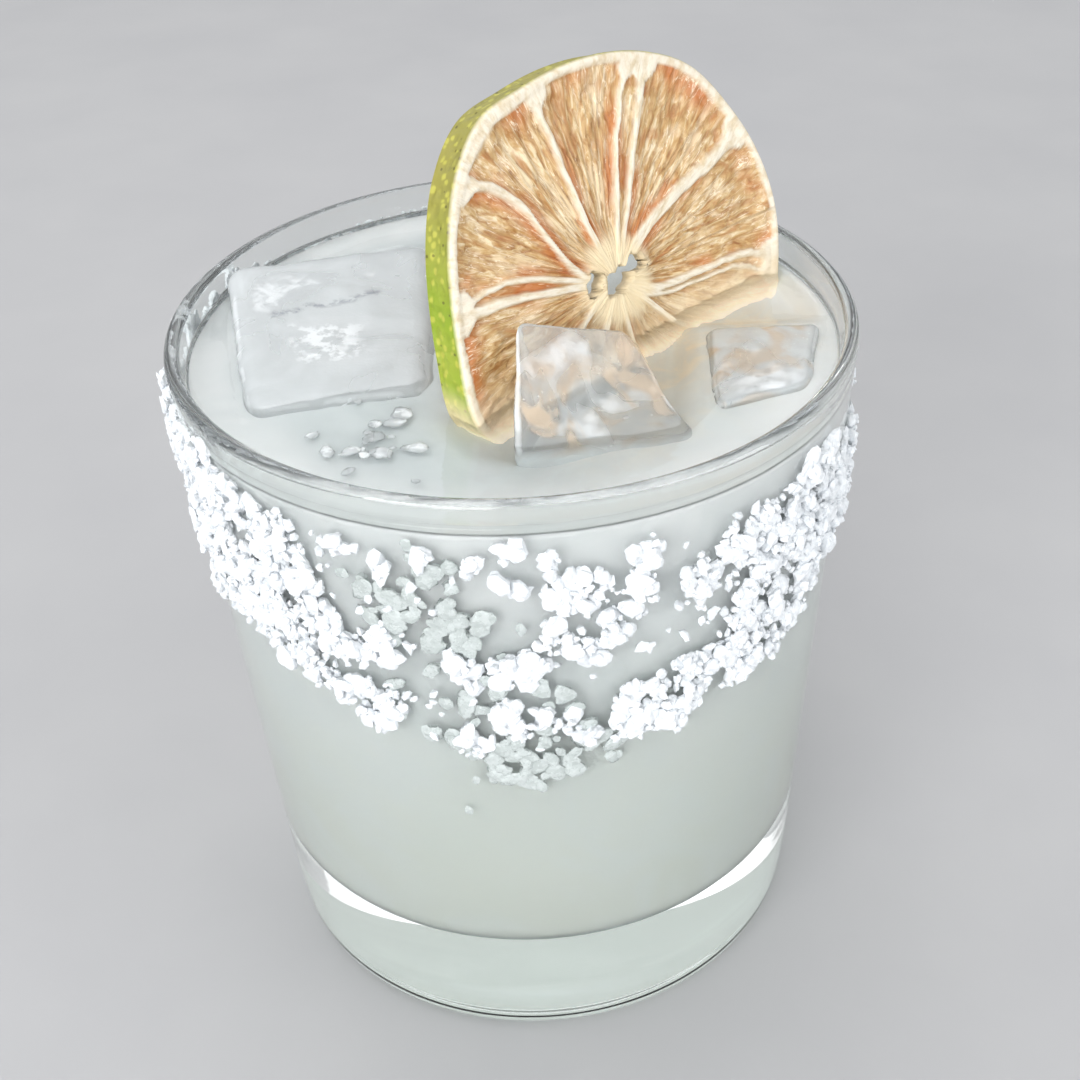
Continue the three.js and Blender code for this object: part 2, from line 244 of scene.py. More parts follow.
# The sky's shades, by height.
SKY_SHADES = (
    (0.0, (0.36, 0.37, 0.39, 1)),
    (0.22, (0.78, 0.79, 0.8, 1)),
    (0.8, (0.8, 0.81, 0.82, 1)),
)
FLOOR_REACH = 9000

# Camera. Its place is in metres.
CAMERA_PLACE = (0.0, -0.18787941, 0.19627155)
CAMERA_RIGHT = (0.99707496, -0.07497028, -0.01486525)
CAMERA_UP = (0.05599238, 0.58412101, 0.80973298)
CAMERA_AHEAD = (0.0520228, 0.80819682, -0.5866102)
FOCAL_PIXELS = 1600
SHIFT_PIXELS = -70
IMAGE_PIXELS = 1080
SENSOR_WIDTH = 36.0


def linear(red, green, blue):
    """The linear colour that a shader takes, from display values of 0 to 255."""
    out = []
    for value in (red, green, blue):
        share = value / 255
        out.append(share / 12.92 if share <= 0.04045 else ((share + 0.055) / 1.055) ** 2.4)
    return (out[0], out[1], out[2], 1.0)


def lerp(low, high, share):
    """The value at a share of the way from low to high."""
    return (1 - share) * low + share * high


def ramp(low, high, value):
    """0 below low and 1 above high, smooth between."""
    share = np.clip((value - low) / (high - low), 0, 1)
    return share * share * (3 - 2 * share)


def bell(value, middle, width):
    """1 at the middle, falling smoothly to 0 on both sides."""
    return np.exp(-((value - middle) / width) ** 2)


def lattice(across, up, seed):
    """A number of 0 to 1 for each whole place, the same for the same seed."""
    number = (across * 374761393 + up * 668265263 + seed * 362437) & 0xFFFFFFFF
    number = ((number ^ (number >> 13)) * 1274126177) & 0xFFFFFFFF
    return ((number ^ (number >> 16)) & 0xFFFF) / 65535.0


def noise(across, up, seed, octaves=3):
    """Smooth seeded noise of about -1 to 1."""
    across = np.asarray(across, float)
    up = np.asarray(up, float)
    total = 0.0
    weight = 1.0
    reach = 0.0
    for _ in range(octaves):
        cell_x = np.floor(across).astype(np.int64)
        cell_y = np.floor(up).astype(np.int64)
        share_x = across - cell_x
        share_y = up - cell_y
        share_x = share_x * share_x * (3 - 2 * share_x)
        share_y = share_y * share_y * (3 - 2 * share_y)
        low = lerp(lattice(cell_x, cell_y, seed), lattice(cell_x + 1, cell_y, seed), share_x)
        above = cell_y + 1
        high = lerp(lattice(cell_x, above, seed), lattice(cell_x + 1, above, seed), share_x)
        total = total + weight * (lerp(low, high, share_y) * 2 - 1)
        reach += weight
        weight *= 0.5
        across = across * 2 + 17.3
        up = up * 2 + 9.1
        seed += 1
    return total / reach


def noise_above(points, size, seed):
    """Noise over the XY plane, with bumps of about a size."""
    return noise(points[:, 0] / size, points[:, 1] / size, seed)


def outer_radius(height):
    """Of the glass's wall, at a height."""
    return FOOT_CONE_RADIUS + (RIM_RADIUS - FOOT_CONE_RADIUS) * height / GLASS_HEIGHT


def inner_radius(height):
    share = (height - BASE_THICKNESS) / (GLASS_HEIGHT - BASE_THICKNESS)
    return outer_radius(height) - lerp(WALL_AT_FLOOR, WALL_AT_RIM, share)


def arc(centre_r, centre_z, radius, start, end, steps):
    """Points of a profile round a centre, between two angles in degrees."""
    out = []
    for step in range(steps + 1):
        turn = math.radians(lerp(start, end, step / steps))
        out.append((centre_r + radius * math.cos(turn), centre_z + radius * math.sin(turn)))
    return out


# Meshes

def around(radius, turn, height):
    """Points at distances from the Z axis, turns round it and heights."""
    return np.column_stack([radius * np.cos(turn), radius * np.sin(turn), height])


def make_piece(name, points, faces, smooth=True):
    mesh = bpy.data.meshes.new(name)
    mesh.from_pydata((np.asarray(points) * MM).tolist(), [], faces)
    mesh.validate()
    mesh.update()
    if smooth:
        mesh.shade_smooth()
    piece = bpy.data.objects.new(name, mesh)
    bpy.context.scene.collection.objects.link(piece)
    return piece


def store(piece, name, values):
    """Keeps a number or a vector for each point of the mesh, for its material."""
    values = np.asarray(values, np.float32)
    kind, key = ("FLOAT", "value") if values.ndim == 1 else ("FLOAT_VECTOR", "vector")
    piece.data.attributes.new(name, kind, "POINT").data.foreach_set(key, values.ravel())


def ring_faces(rows, columns):
    """Quads between neighbouring rings of a grid of rows by columns."""
    faces = []
    for row in range(rows - 1):
        for column in range(columns):
            after = (column + 1) % columns
            faces.append((
                row * columns + column,
                row * columns + after,
                (row + 1) * columns + after,
                (row + 1) * columns + column,
            ))
    return faces


def closed_faces(rows, columns):
    """Faces of a grid whose first and last rings close on the two points that come after it."""
    faces = ring_faces(rows, columns)
    low = rows * columns
    last = low - columns
    for column in range(columns):
        after = (column + 1) % columns
        faces.append((low, after, column))
        faces.append((low + 1, last + column, last + after))
    return faces


def copies(shape_faces, corners, count):
    """Faces of many grains of one shape, whose points follow each other in one mesh."""
    first = np.arange(count)[:, None, None] * corners
    return (np.array(shape_faces)[None] + first).reshape(-1, 3).tolist()


def turned(name, profile, columns):
    """A solid turned round the Z axis. Its profile runs from axis to axis, anticlockwise."""
    turns = np.arange(columns) * 2 * math.pi / columns
    points = []
    for radius, height in profile[1:-1]:
        for turn in turns:
            points.append((radius * math.cos(turn), radius * math.sin(turn), height))
    points.append((0, 0, profile[0][1]))
    points.append((0, 0, profile[-1][1]))
    return make_piece(name, points, closed_faces(len(profile) - 2, columns))


# Materials

class Shader:
    """The node tree of a material or of the world, built a node at a time."""

    def __init__(self, owner, last):
        owner.use_nodes = True
        self.owner = owner
        self.tree = owner.node_tree
        self.surface = self.tree.nodes[last]

    def node(self, kind, *values, **settings):
        """A new node with its settings, and values or other nodes' outputs for its first inputs."""
        made = self.tree.nodes.new(kind)
        for key, value in settings.items():
            setattr(made, key, value)
        for socket, value in zip(made.inputs, values):
            self.put(socket, value)
        return made

    def put(self, socket, value):
        if isinstance(value, bpy.types.NodeSocket):
            self.tree.links.new(value, socket)
        else:
            socket.default_value = value

    def fill(self, node, **values):
        """Sets a node's inputs by name, and returns its first output."""
        for key, value in values.items():
            self.put(node.inputs[key.replace("_", " ")], value)
        return node.outputs[0]

    def set(self, **values):
        self.fill(self.surface, **values)

    def maths(self, kind, *values):
        return self.node("ShaderNodeMath", *values, operation=kind).outputs[0]

    def times(self, first, second):
        return self.maths("MULTIPLY", first, second)

    def most(self, first, second):
        return self.maths("MAXIMUM", first, second)

    def blend(self, share, first, second):
        made = self.node("ShaderNodeMix", share, data_type="RGBA")
        self.put(made.inputs[6], first)
        self.put(made.inputs[7], second)
        return made.outputs[2]

    def spread(self, value, low, high, start=0.0, end=1.0, smooth=True):
        values = (value, low, high, start, end)
        kind = "SMOOTHSTEP" if smooth else "LINEAR"
        return self.node("ShaderNodeMapRange", *values, interpolation_type=kind).outputs[0]

    def colours(self, value, *stops):
        made = self.node("ShaderNodeValToRGB", value)
        steps = made.color_ramp.elements
        while len(steps) < len(stops):
            steps.new(0.5)
        for step, (place, colour) in zip(steps, stops):
            step.position = place
            step.color = colour
        return made.outputs[0]

    def position(self):
        """The point's place in millimetres."""
        made = self.node("ShaderNodeVectorMath", operation="SCALE")
        in_metres = self.node("ShaderNodeNewGeometry").outputs["Position"]
        return self.fill(made, Vector=in_metres, Scale=1 / MM)

    def stretch(self, vector, scale):
        return self.node("ShaderNodeVectorMath", vector, scale, operation="MULTIPLY").outputs[0]

    def parts(self, vector):
        return self.node("ShaderNodeSeparateXYZ", vector).outputs

    def cloud(self, vector, scale, detail=3.0, rough=0.55, twist=0.0):
        """Smooth noise of 0 to 1."""
        return self.fill(
            self.node("ShaderNodeTexNoise"),
            Vector=vector,
            Scale=scale,
            Detail=detail,
            Roughness=rough,
            Distortion=twist,
        )

    def cells(self, vector, scale):
        """The distance to the nearest of many scattered spots."""
        return self.fill(self.node("ShaderNodeTexVoronoi"), Vector=vector, Scale=scale)

    def kept(self, name, output="Fac"):
        """A number that the mesh keeps for each point."""
        return self.node("ShaderNodeAttribute", attribute_name=name).outputs[output]

    def bump(self, height, distance, strength):
        made = self.node("ShaderNodeBump")
        self.set(Normal=self.fill(made, Height=height, Distance=distance * MM, Strength=strength))

    def under_drink(self, deep):
        """0 above the drink's level, rising to 1 at a depth below it."""
        height = self.parts(self.position())[2]
        return self.spread(height, DRINK_LEVEL + 0.3, DRINK_LEVEL - deep, 0.0, 1.0)


def new_shader(name):
    """The shader of a new material, whose glow isn't sampled as a lamp."""
    material = bpy.data.materials.new(name)
    material.cycles.emission_sampling = "NONE"
    return Shader(material, "Principled BSDF")


# Colours of the drink. The low one is darker and greener than the top one: partly the drink's own
# tint, partly painted shade.
DRINK_TOP_COLOUR = linear(236, 241, 240)
DRINK_LOW_COLOUR = linear(217, 222, 214)
DRINK_HAZE = linear(247, 237, 218)
BLACK = (0, 0, 0, 1)


def glass_material():
    shader = new_shader("glass")
    place = shader.position()
    film = shader.cloud(place, 0.05, 3.0)
    tint = shader.colours(film, (0.3, (0.955, 0.985, 0.972, 1)), (0.7, (0.975, 0.992, 0.985, 1)))
    shader.set(
        Base_Color=tint,
        Roughness=shader.spread(film, 0.35, 0.75, 0.0, 0.03),
        IOR=1.5,
        Transmission_Weight=1.0,
    )
    shader.bump(shader.cloud(place, 0.08, 2.0), 0.05, 0.35)
    return shader.owner


def drink_material():
    shader = new_shader("drink_cloud")
    place = shader.position()
    height = shader.parts(place)[2]
    swirl = shader.cloud(place, 0.06, 4.0, 0.6, 1.2)
    # Darker and greener towards the bottom: partly the drink's own tint, partly painted shade.
    depth = shader.spread(height, 20.0, 90.0)
    body = shader.blend(depth, DRINK_LOW_COLOUR, DRINK_TOP_COLOUR)
    # Lighter towards the top, where the salt band sits: painted light.
    painted_light_high = shader.spread(height, 48.0, 88.0, 0.0, 0.9)
    body = shader.blend(painted_light_high, body, linear(250, 252, 252))
    # A darker band where the drink meets the glass's floor: painted shade.
    painted_shade_at_floor = shader.spread(height, BASE_THICKNESS + 2.5, BASE_THICKNESS + 0.4)
    body = shader.blend(shader.times(painted_shade_at_floor, 0.7), body, linear(150, 162, 162))
    body = shader.blend(shader.spread(swirl, 0.35, 0.7, 0.0, 0.35), body, linear(222, 229, 230))
    # The top of the cloudy drink takes a darker colour than its body: painted shade that tones down
    # its brightly lit top.
    streak = shader.spread(swirl, 0.35, 0.7)
    top = shader.blend(streak, linear(208, 216, 217), linear(219, 226, 227))
    body = shader.blend(shader.kept("top"), body, top)
    mottle = shader.spread(shader.cloud(place, 0.16, 4.0, 0.6, 1.0), 0.4, 0.62, 0.45, 1.0)
    haze = shader.times(shader.kept("haze"), mottle)
    body = shader.blend(haze, body, DRINK_HAZE)
    # The drink's underside glows pale: painted light in place of the light that the cloudy drink
    # carries down into the glass's base.
    glow_at_floor = shader.spread(height, BASE_THICKNESS + 0.5, BASE_THICKNESS)
    shader.set(
        Base_Color=body,
        Roughness=shader.spread(swirl, 0.3, 0.7, 0.35, 0.5),
        IOR=1.33,
        Emission_Color=shader.blend(glow_at_floor, BLACK, linear(214, 222, 216)),
        Emission_Strength=0.66,
    )
    return shader.owner


def surface_material():
    shader = new_shader("drink_surface")
    place = shader.position()
    film = shader.cloud(place, 0.12, 4.0, 0.6, 0.6)
    tint = shader.colours(film, (0.3, (0.955, 0.975, 0.97, 1)), (0.7, (0.985, 0.992, 0.99, 1)))
    shader.set(
        Base_Color=tint,
        Roughness=shader.spread(film, 0.45, 0.75, 0.02, 0.12),
        IOR=1.33,
        Transmission_Weight=1.0,
    )
    shader.bump(shader.cloud(place, 0.25, 3.0), 0.12, 0.4)
    return shader.owner


def salt_material():
    shader = new_shader("salt")
    place = shader.position()
    grain = shader.cloud(place, 1.6, 3.0)
    shades = ((0.3, linear(212, 217, 221)), (0.62, linear(234, 237, 240)))
    shader.set(
        Base_Color=shader.colours(grain, *shades),
        Roughness=shader.spread(grain, 0.3, 0.7, 0.35, 0.7),
    )
    shader.bump(shader.cloud(place, 3.2, 3.0, 0.7), 0.15, 0.6)
    return shader.owner


def wet_salt_material():
    shader = new_shader("salt_wet")
    place = shader.position()
    grain = shader.cloud(place, 0.9, 3.0)
    shades = ((0.35, linear(186, 194, 192)), (0.7, linear(207, 214, 213)))
    shader.set(
        Base_Color=shader.colours(grain, *shades),
        Roughness=shader.spread(grain, 0.3, 0.7, 0.15, 0.4),
        Transmission_Weight=0.15,
        IOR=1.4,
    )
    shader.bump(shader.cloud(place, 1.4, 3.0), 0.25, 0.7)
    return shader.owner


def ice_material():
    """Clear ice with frosted patches. Milky ice takes the cloudy drink's colour. Its whiter edges
    are partly frost and partly painted highlight, and its amber in front of the wheel is a painted
    reflection of the wheel.
    """
    shader = new_shader("ice")
    place = shader.position()
    under = shader.under_drink(2.0)
    patch = shader.cloud(place, 0.085, 3.0, 0.5, 0.8)
    fine = shader.cloud(place, 0.55, 4.0, 0.65)
    frost = shader.times(shader.spread(patch, 0.44, 0.72), shader.spread(fine, 0.3, 0.6, 0.55, 1.0))
    speck = shader.spread(shader.cells(place, 0.9), 0.16, 0.08)
    for more in (
        shader.times(shader.kept("frost"), shader.spread(fine, 0.28, 0.56, 0.3, 1.0)),
        # Whiter along the cube's edges: partly frost, partly painted highlight.
        shader.times(shader.kept("edge"), shader.spread(patch, 0.36, 0.56, 0.3, 1.0)),
        shader.times(speck, 0.6),
    ):
        frost = shader.most(frost, more)
    milky = shader.times(shader.kept("milky"), shader.spread(patch, 0.62, 0.35, 0.8, 1.0))
    colour = shader.blend(milky, (0.965, 0.985, 0.99, 1), linear(212, 219, 222))
    colour = shader.blend(frost, colour, linear(238, 242, 244))
    # Amber streaks on the ice in front of the wheel: a painted reflection of the wheel.
    wave = shader.cloud(shader.stretch(place, (1.0, 1.0, 0.5)), 0.16, 2.5, 0.5, 1.2)
    wheel_reflection = shader.times(shader.spread(wave, 0.42, 0.66), shader.kept("wheel_reflection"))
    colour = shader.blend(shader.times(wheel_reflection, 0.8), colour, linear(232, 204, 170))
    crack = shader.times(shader.kept("crack"), shader.spread(fine, 0.42, 0.58))
    colour = shader.blend(crack, colour, linear(164, 168, 176))
    colour = shader.blend(under, colour, linear(206, 213, 214))
    solid = shader.most(shader.times(frost, 0.8), milky)
    solid = shader.most(solid, shader.times(wheel_reflection, 0.5))
    clear = shader.maths("SUBTRACT", 1.0, shader.most(solid, under))
    shader.set(
        Base_Color=colour,
        Roughness=shader.spread(patch, 0.35, 0.65, 0.06, 0.35),
        Transmission_Weight=clear,
        IOR=1.31,
    )
    shader.bump(shader.cloud(place, 0.22, 4.0, 0.6), 0.4, 0.45)
    return shader.owner


def lime_material():
    shader = new_shader("lime")
    place = shader.position()
    polar = shader.kept("polar", "Vector")
    hair = shader.cloud(shader.stretch(polar, (1.0, 0.26, 1.0)), 0.72, 5.0, 0.62, 1.5)
    blotch = shader.cloud(shader.stretch(polar, (1.0, 0.55, 1.0)), 0.24, 4.0, 0.6, 0.8)
    pulp = shader.colours(
        hair,
        (0.28, linear(140, 91, 42)),
        (0.4, linear(174, 132, 79)),
        (0.52, linear(197, 163, 111)),
        (0.66, linear(226, 208, 172)),
    )
    pulp = shader.blend(shader.spread(blotch, 0.48, 0.68, 0.0, 0.7), pulp, linear(232, 212, 176))
    pulp = shader.blend(shader.spread(blotch, 0.46, 0.3, 0.0, 0.6), pulp, linear(172, 108, 56))
    # Darker in the creases between juice cells: partly their own brown walls, partly painted shade.
    crease = shader.kept("crease")
    pulp = shader.blend(shader.times(crease, 0.3), pulp, linear(150, 92, 46))
    # Orange-brown beside the membranes and just inside the pith: partly the dried pulp's own brown,
    # partly painted shade.
    brown_and_shade = shader.kept("brown_and_shade")
    pulp = shader.blend(shader.times(brown_and_shade, 0.85), pulp, linear(184, 104, 40))
    thread = shader.cloud(shader.stretch(polar, (1.3, 0.13, 1.0)), 0.8, 2.0, 0.5, 1.2)
    thread = shader.maths("ABSOLUTE", shader.maths("SUBTRACT", thread, 0.5))
    thread = shader.times(shader.spread(thread, 0.022, 0.004), shader.spread(blotch, 0.4, 0.6))
    pulp = shader.blend(shader.times(thread, 0.8), pulp, linear(242, 228, 202))
    tissue = shader.kept("tissue")
    fibre = shader.cloud(shader.stretch(polar, (1.0, 0.5, 1.0)), 0.9, 4.0, 0.6)
    white = shader.colours(fibre, (0.3, linear(206, 188, 155)), (0.55, linear(227, 218, 200)))
    face = shader.blend(tissue, pulp, white)
    core = shader.kept("core")
    face = shader.blend(shader.times(core, 0.7), face, linear(238, 218, 176))
    rind = rind_colour(shader, place)
    skin = shader.kept("skin")
    colour = shader.blend(skin, face, rind)
    height = shader.parts(place)[2]
    # Pale tan from 5 mm above the drink's level down: painted light that lifts the shaded pulp by
    # the waterline.
    painted_light_by_level = shader.spread(height, DRINK_LEVEL + 5.0, DRINK_LEVEL - 1.0, 0.0, 0.75)
    colour = shader.blend(painted_light_by_level, colour, linear(246, 224, 188))
    colour = shader.blend(shader.under_drink(8.0), colour, linear(226, 222, 212))
    matt = shader.most(tissue, skin)
    shader.set(
        # Below the level the wheel glows with its own colour: painted light in place of the light
        # that the cloudy drink scatters onto it.
        Emission_Color=shader.blend(shader.under_drink(3.5), BLACK, colour),
        Emission_Strength=0.52,
        Base_Color=colour,
        Roughness=shader.spread(matt, 0.0, 1.0, 0.3, 0.55, smooth=False),
    )
    pores = shader.cells(place, 0.62)
    relief = shader.blend(skin, hair, shader.spread(pores, 0.1, 0.7))
    shader.bump(relief, 0.35, 0.6)
    return shader.owner


def rind_colour(shader, place):
    """Green skin with pale oil dots and dark specks, duller towards its dry top."""
    broad = shader.cloud(place, 0.07, 3.0)
    fresh = shader.colours(
        broad,
        (0.32, linear(112, 142, 30)),
        (0.5, linear(136, 158, 38)),
        (0.68, linear(160, 168, 62)),
    )
    height = shader.parts(place)[2]
    dry = shader.spread(height, *DRY_TOP, 0.0, 0.75)
    fresh = shader.blend(dry, fresh, linear(150, 134, 70))
    shift = shader.stretch(shader.cloud(place, 0.5, 2.0), (0.9, 0.9, 0.9))
    warped = shader.node("ShaderNodeVectorMath", place, shift, operation="ADD").outputs[0]
    dots = shader.spread(shader.cells(warped, 0.8), 0.46, 0.2)
    fresh = shader.blend(shader.times(dots, 0.6), fresh, linear(196, 192, 84))
    speck = shader.spread(shader.cells(shader.stretch(place, (1.0, 1.0, 1.3)), 0.55), 0.17, 0.09)
    return shader.blend(shader.times(speck, 0.7), fresh, linear(82, 76, 28))


def floor_material():
    shader = new_shader("floor")
    place = shader.position()
    cloud = shader.cloud(place, 0.02, 3.0)
    grey = shader.colours(cloud, (0.3, (0.40, 0.40, 0.41, 1)), (0.7, (0.425, 0.425, 0.432, 1)))
    shader.set(Base_Color=grey, Roughness=0.6)
    return shader.owner


# Glass

def make_glass():
    heel = FOOT_CONE_RADIUS - HEEL_ROUNDING
    rim = WALL_AT_RIM / 2
    corner = BASE_THICKNESS + FLOOR_ROUNDING
    profile = [(radius, RECESS_DEPTH) for radius in (0, 12, 22)]
    profile += [(RECESS_RADIUS + out, RECESS_DEPTH * share) for out, share in RECESS_EDGE]
    profile += [(heel - 0.8, 0)]
    profile += arc(heel, HEEL_ROUNDING, HEEL_ROUNDING, -90, 2, ARC_STEPS)
    profile += [(outer_radius(height), height) for height in OUTSIDE_HEIGHTS]
    profile += arc(RIM_RADIUS - rim, GLASS_HEIGHT - rim, rim, 0, 180, ARC_STEPS)
    profile += [(inner_radius(height), height) for height in INSIDE_HEIGHTS]
    profile += arc(inner_radius(corner) - FLOOR_ROUNDING, corner, FLOOR_ROUNDING, 0, -90, ARC_STEPS)
    profile += [(radius, BASE_THICKNESS) for radius in (24, 12, 0)]
    piece = turned("glass_body", profile, GLASS_COLUMNS)
    piece.data.materials.append(glass_material())
    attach(piece, "root")
    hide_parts("glass")


# Drink

def wheel_distance(points):
    """How far points are in front of the wheel's face, and where they are along its level line."""
    from_core = points - WHEEL_CORE
    return from_core @ WHEEL_OUT, from_core @ WHEEL_ALONG


def beside_ice(points, name):
    """How far points are outside the top face of an ice cube, seen from above."""
    top = np.array(ICE_CORNERS[name], float)[4:, :2]
    away = np.full(len(points), -99.0)
    for corner in range(4):
        side = top[(corner + 1) % 4] - top[corner]
        outward = np.array((side[1], -side[0])) / np.hypot(*side)
        away = np.maximum(away, (points[:, :2] - top[corner]) @ outward)
    return away


def cloud_depth(points):
    """How far below the level the drink turns cloudy."""
    out, along = wheel_distance(points)
    radius = np.hypot(points[:, 0], points[:, 1])
    wall = inner_radius(DRINK_LEVEL)
    depth = CLEAR_DEPTH + 0.35 * noise_above(points, 9, 5)
    for more, away, width, end, whole in CLEAR_BY_WHEEL:
        depth = depth + more * (bell(out, away, width) * ramp(end, whole, np.abs(along)))
    for name in CUBES_AT_LEVEL:
        depth = lerp(CLEAR_AT_ICE, depth, ramp(0, 5, beside_ice(points, name)))
    return lerp(CLEAR_AT_WALL, depth, ramp(wall, wall - 3.5, radius))


def top_grid(edge, rows, columns):
    """Points of a disc, from its edge to near its middle, a ring at a time."""
    shares = np.linspace(1, 0, rows + 1)[:-1]
    shares = 1 - (1 - shares) ** TOP_CROWDING
    turns = np.arange(columns) * 2 * math.pi / columns
    radius = (shares * edge)[:, None]
    flat = np.stack([radius * np.cos(turns), radius * np.sin(turns)], axis=-1)
    flat = flat.reshape(-1, 2)
    return np.column_stack([flat, np.full(len(flat), DRINK_LEVEL)])


def make_drink_cloud():
    """The cloudy drink, from the glass's floor to the clear layer at its surface."""
    side = [(12, BASE_THICKNESS), (24, BASE_THICKNESS)]
    corner = BASE_THICKNESS + FLOOR_ROUNDING
    side += arc(inner_radius(corner) - FLOOR_ROUNDING, corner, FLOOR_ROUNDING, -90, 0, 10)
    side += [(inner_radius(height), height) for height in DRINK_HEIGHTS]
    turns = np.arange(DRINK_COLUMNS) * 2 * math.pi / DRINK_COLUMNS
    points = []
    for radius, height in side:
        wide = radius + (INTO_WALL if radius > 25 else 0)
        low = height - (INTO_WALL if height < 20 else 0)
        level = np.full(DRINK_COLUMNS, low)
        points.append(around(wide, turns, level))
    top = top_grid(inner_radius(DRINK_LEVEL) + INTO_WALL, DRINK_TOP_ROWS, DRINK_COLUMNS)
    top[:, 2] -= cloud_depth(top)
    points = np.vstack(points + [top])
    middle = [[0, 0, BASE_THICKNESS - INTO_WALL], [0, 0, top[-DRINK_COLUMNS:, 2].mean()]]
    points = np.vstack([points, middle])
    faces = closed_faces(len(side) + DRINK_TOP_ROWS, DRINK_COLUMNS)
    piece = make_piece("drink_cloud", points, faces)
    out, along = wheel_distance(points)
    haze = bell(out, 3, 12) * ramp(29, 14, np.abs(along))
    store(piece, "haze", haze * ramp(80, 92, points[:, 2]))
    # Where the drink's top takes its darker colour, fading in from 3 to 12 mm inside the wall:
    # painted shade.
    on_top = np.arange(len(points)) >= len(side) * DRINK_COLUMNS
    from_wall = inner_radius(DRINK_LEVEL) - np.hypot(points[:, 0], points[:, 1])
    store(piece, "top", on_top * ramp(3, 12, from_wall) * 0.9)
    piece.data.materials.append(drink_material())
    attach(piece, "root")
    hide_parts("drink")


def rise(away, height, reach):
    """The drink's rise at a distance from what it touches."""
    return height * np.exp(-np.maximum(0, away) / reach)


def make_drink_surface():
    """The clear layer over the cloudy drink. It rises a little at the wall, wheel and ice."""
    edge = inner_radius(DRINK_LEVEL) + INTO_WALL
    top = top_grid(edge, DRINK_TOP_ROWS, DRINK_COLUMNS)
    bottom = top.copy()
    bottom[:, 2] -= cloud_depth(bottom) + SURFACE_OVERLAP
    radius = np.hypot(top[:, 0], top[:, 1])
    top[:, 2] += rise(inner_radius(DRINK_LEVEL) - radius, *RISE_AT_WALL)
    out, along = wheel_distance(top)
    near = np.where(out > 0, out, np.maximum(0, -out - WHEEL_THICKNESS))
    near = near + np.maximum(0, np.abs(along) - WHEEL_AT_LEVEL)
    top[:, 2] += rise(near, *RISE_AT_WHEEL)
    for name in CUBES_AT_LEVEL:
        top[:, 2] += rise(beside_ice(top, name), *RISE_AT_ICE)
    top[:, 2] += RIPPLES * noise_above(top, 5, 31)
    bottom = bottom.reshape(DRINK_TOP_ROWS, DRINK_COLUMNS, 3)[::-1].reshape(-1, 3)
    low = bottom[:DRINK_COLUMNS, 2].mean()
    high = top[-DRINK_COLUMNS:, 2].mean()
    points = np.vstack([bottom, top, [[0, 0, low], [0, 0, high]]])
    faces = closed_faces(DRINK_TOP_ROWS * 2, DRINK_COLUMNS)
    piece = make_piece("drink_surface", points, faces)
    piece.data.materials.append(surface_material())
    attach(piece, "root")
    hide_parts("drink")


# Salt

def make_random(seed):
    """The part's own row of random numbers, so that the clumps fall where the solid has them."""
    state = [seed]

    def draw():
        state[0] = (state[0] * 1664525 + 1013904223) % 4294967296
        return state[0] / 4294967296

    return draw


def crust_edge(angle, side):
    angles = [row[0] for row in CRUST_EDGES]
    return float(np.interp(angle, angles, [row[side] for row in CRUST_EDGES]))


def crust_share(angle, height):
    """How much of the wall is salted there: less on the thin front."""
    on_front = THIN_FROM < angle < THIN_TO
    in_middle = THIN_MIDDLE_FROM < angle < THIN_MIDDLE_TO
    return THIN_SHARE if in_middle or (on_front and height > THIN_ABOVE) else 1


def distance_on_wall(first, second):
    turn = abs(first[0] - second[0])
    across = math.radians(min(turn, 360 - turn)) * outer_radius(first[1])
    return math.hypot(across, first[1] - second[1])


def spread_crust():
    """The clumps of the part's source: angle, height, width and height of each."""
    draw = make_random(CRUST_SEED)
    clumps = list(FRONT_CLUMPS)
    wanted = CRUST_CLUMPS + len(FRONT_CLUMPS)
    misses = 0
    while len(clumps) < wanted and misses < MOST_MISSES:
        size = lerp(CRUST_WIDEST, CRUST_NARROWEST, len(clumps) / wanted)
        angle = -180 + 360 * draw()
        place = draw()
        rough = lerp(crust_edge(angle, 2), crust_edge(angle, 1), place)
        share = crust_share(angle, rough)
        wide = size * THIN_SCALE if share < 1 else size
        tall = wide * (0.75 + 0.5 * draw())
        height = lerp(crust_edge(angle, 2) + tall / 2, crust_edge(angle, 1) - tall / 2, place)
        clump = (angle, height, wide, tall)
        too_near = any(
            distance_on_wall(clump, other) < CRUST_SPACING * (wide + other[2]) / 2
            for other in clumps
        )
        if too_near or draw() > share:
            misses += 1
        else:
            clumps.append(clump)
            misses = 0
    return clumps


def grain_shape():
    """The corners and faces of a ball of twenty triangles."""
    golden = (1 + 5 ** 0.5) / 2
    corners = []
    for a in (-1, 1):
        for b in (-golden, golden):
            corners += [(0, a, b), (a, b, 0), (b, 0, a)]
    corners = np.array(corners) / math.hypot(1, golden)
    gap = 2 / math.hypot(1, golden)
    faces = []
    for i in range(12):
        for j in range(i + 1, 12):
            for k in range(j + 1, 12):
                first, second, third = corners[i], corners[j], corners[k]
                sides = (first - second, second - third, first - third)
                if max(np.linalg.norm(side) for side in sides) < gap * 1.01:
                    turn = np.cross(second - first, third - first) @ first
                    faces.append((i, j, k) if turn > 0 else (i, k, j))
    return corners, faces


def finer(corners, faces):
    """The same ball with each triangle split in four."""
    corners = [tuple(corner) for corner in corners]
    middles = {}

    def middle(first, second):
        key = (min(first, second), max(first, second))
        if key not in middles:
            point = np.array(corners[first]) + np.array(corners[second])
            middles[key] = len(corners)
            corners.append(tuple(point / np.linalg.norm(point)))
        return middles[key]

    split = []
    for i, j, k in faces:
        ij, jk, ki = middle(i, j), middle(j, k), middle(k, i)
        split += [(i, ij, ki), (ij, j, jk), (ki, jk, k), (ij, jk, ki)]
    return np.array(corners), split


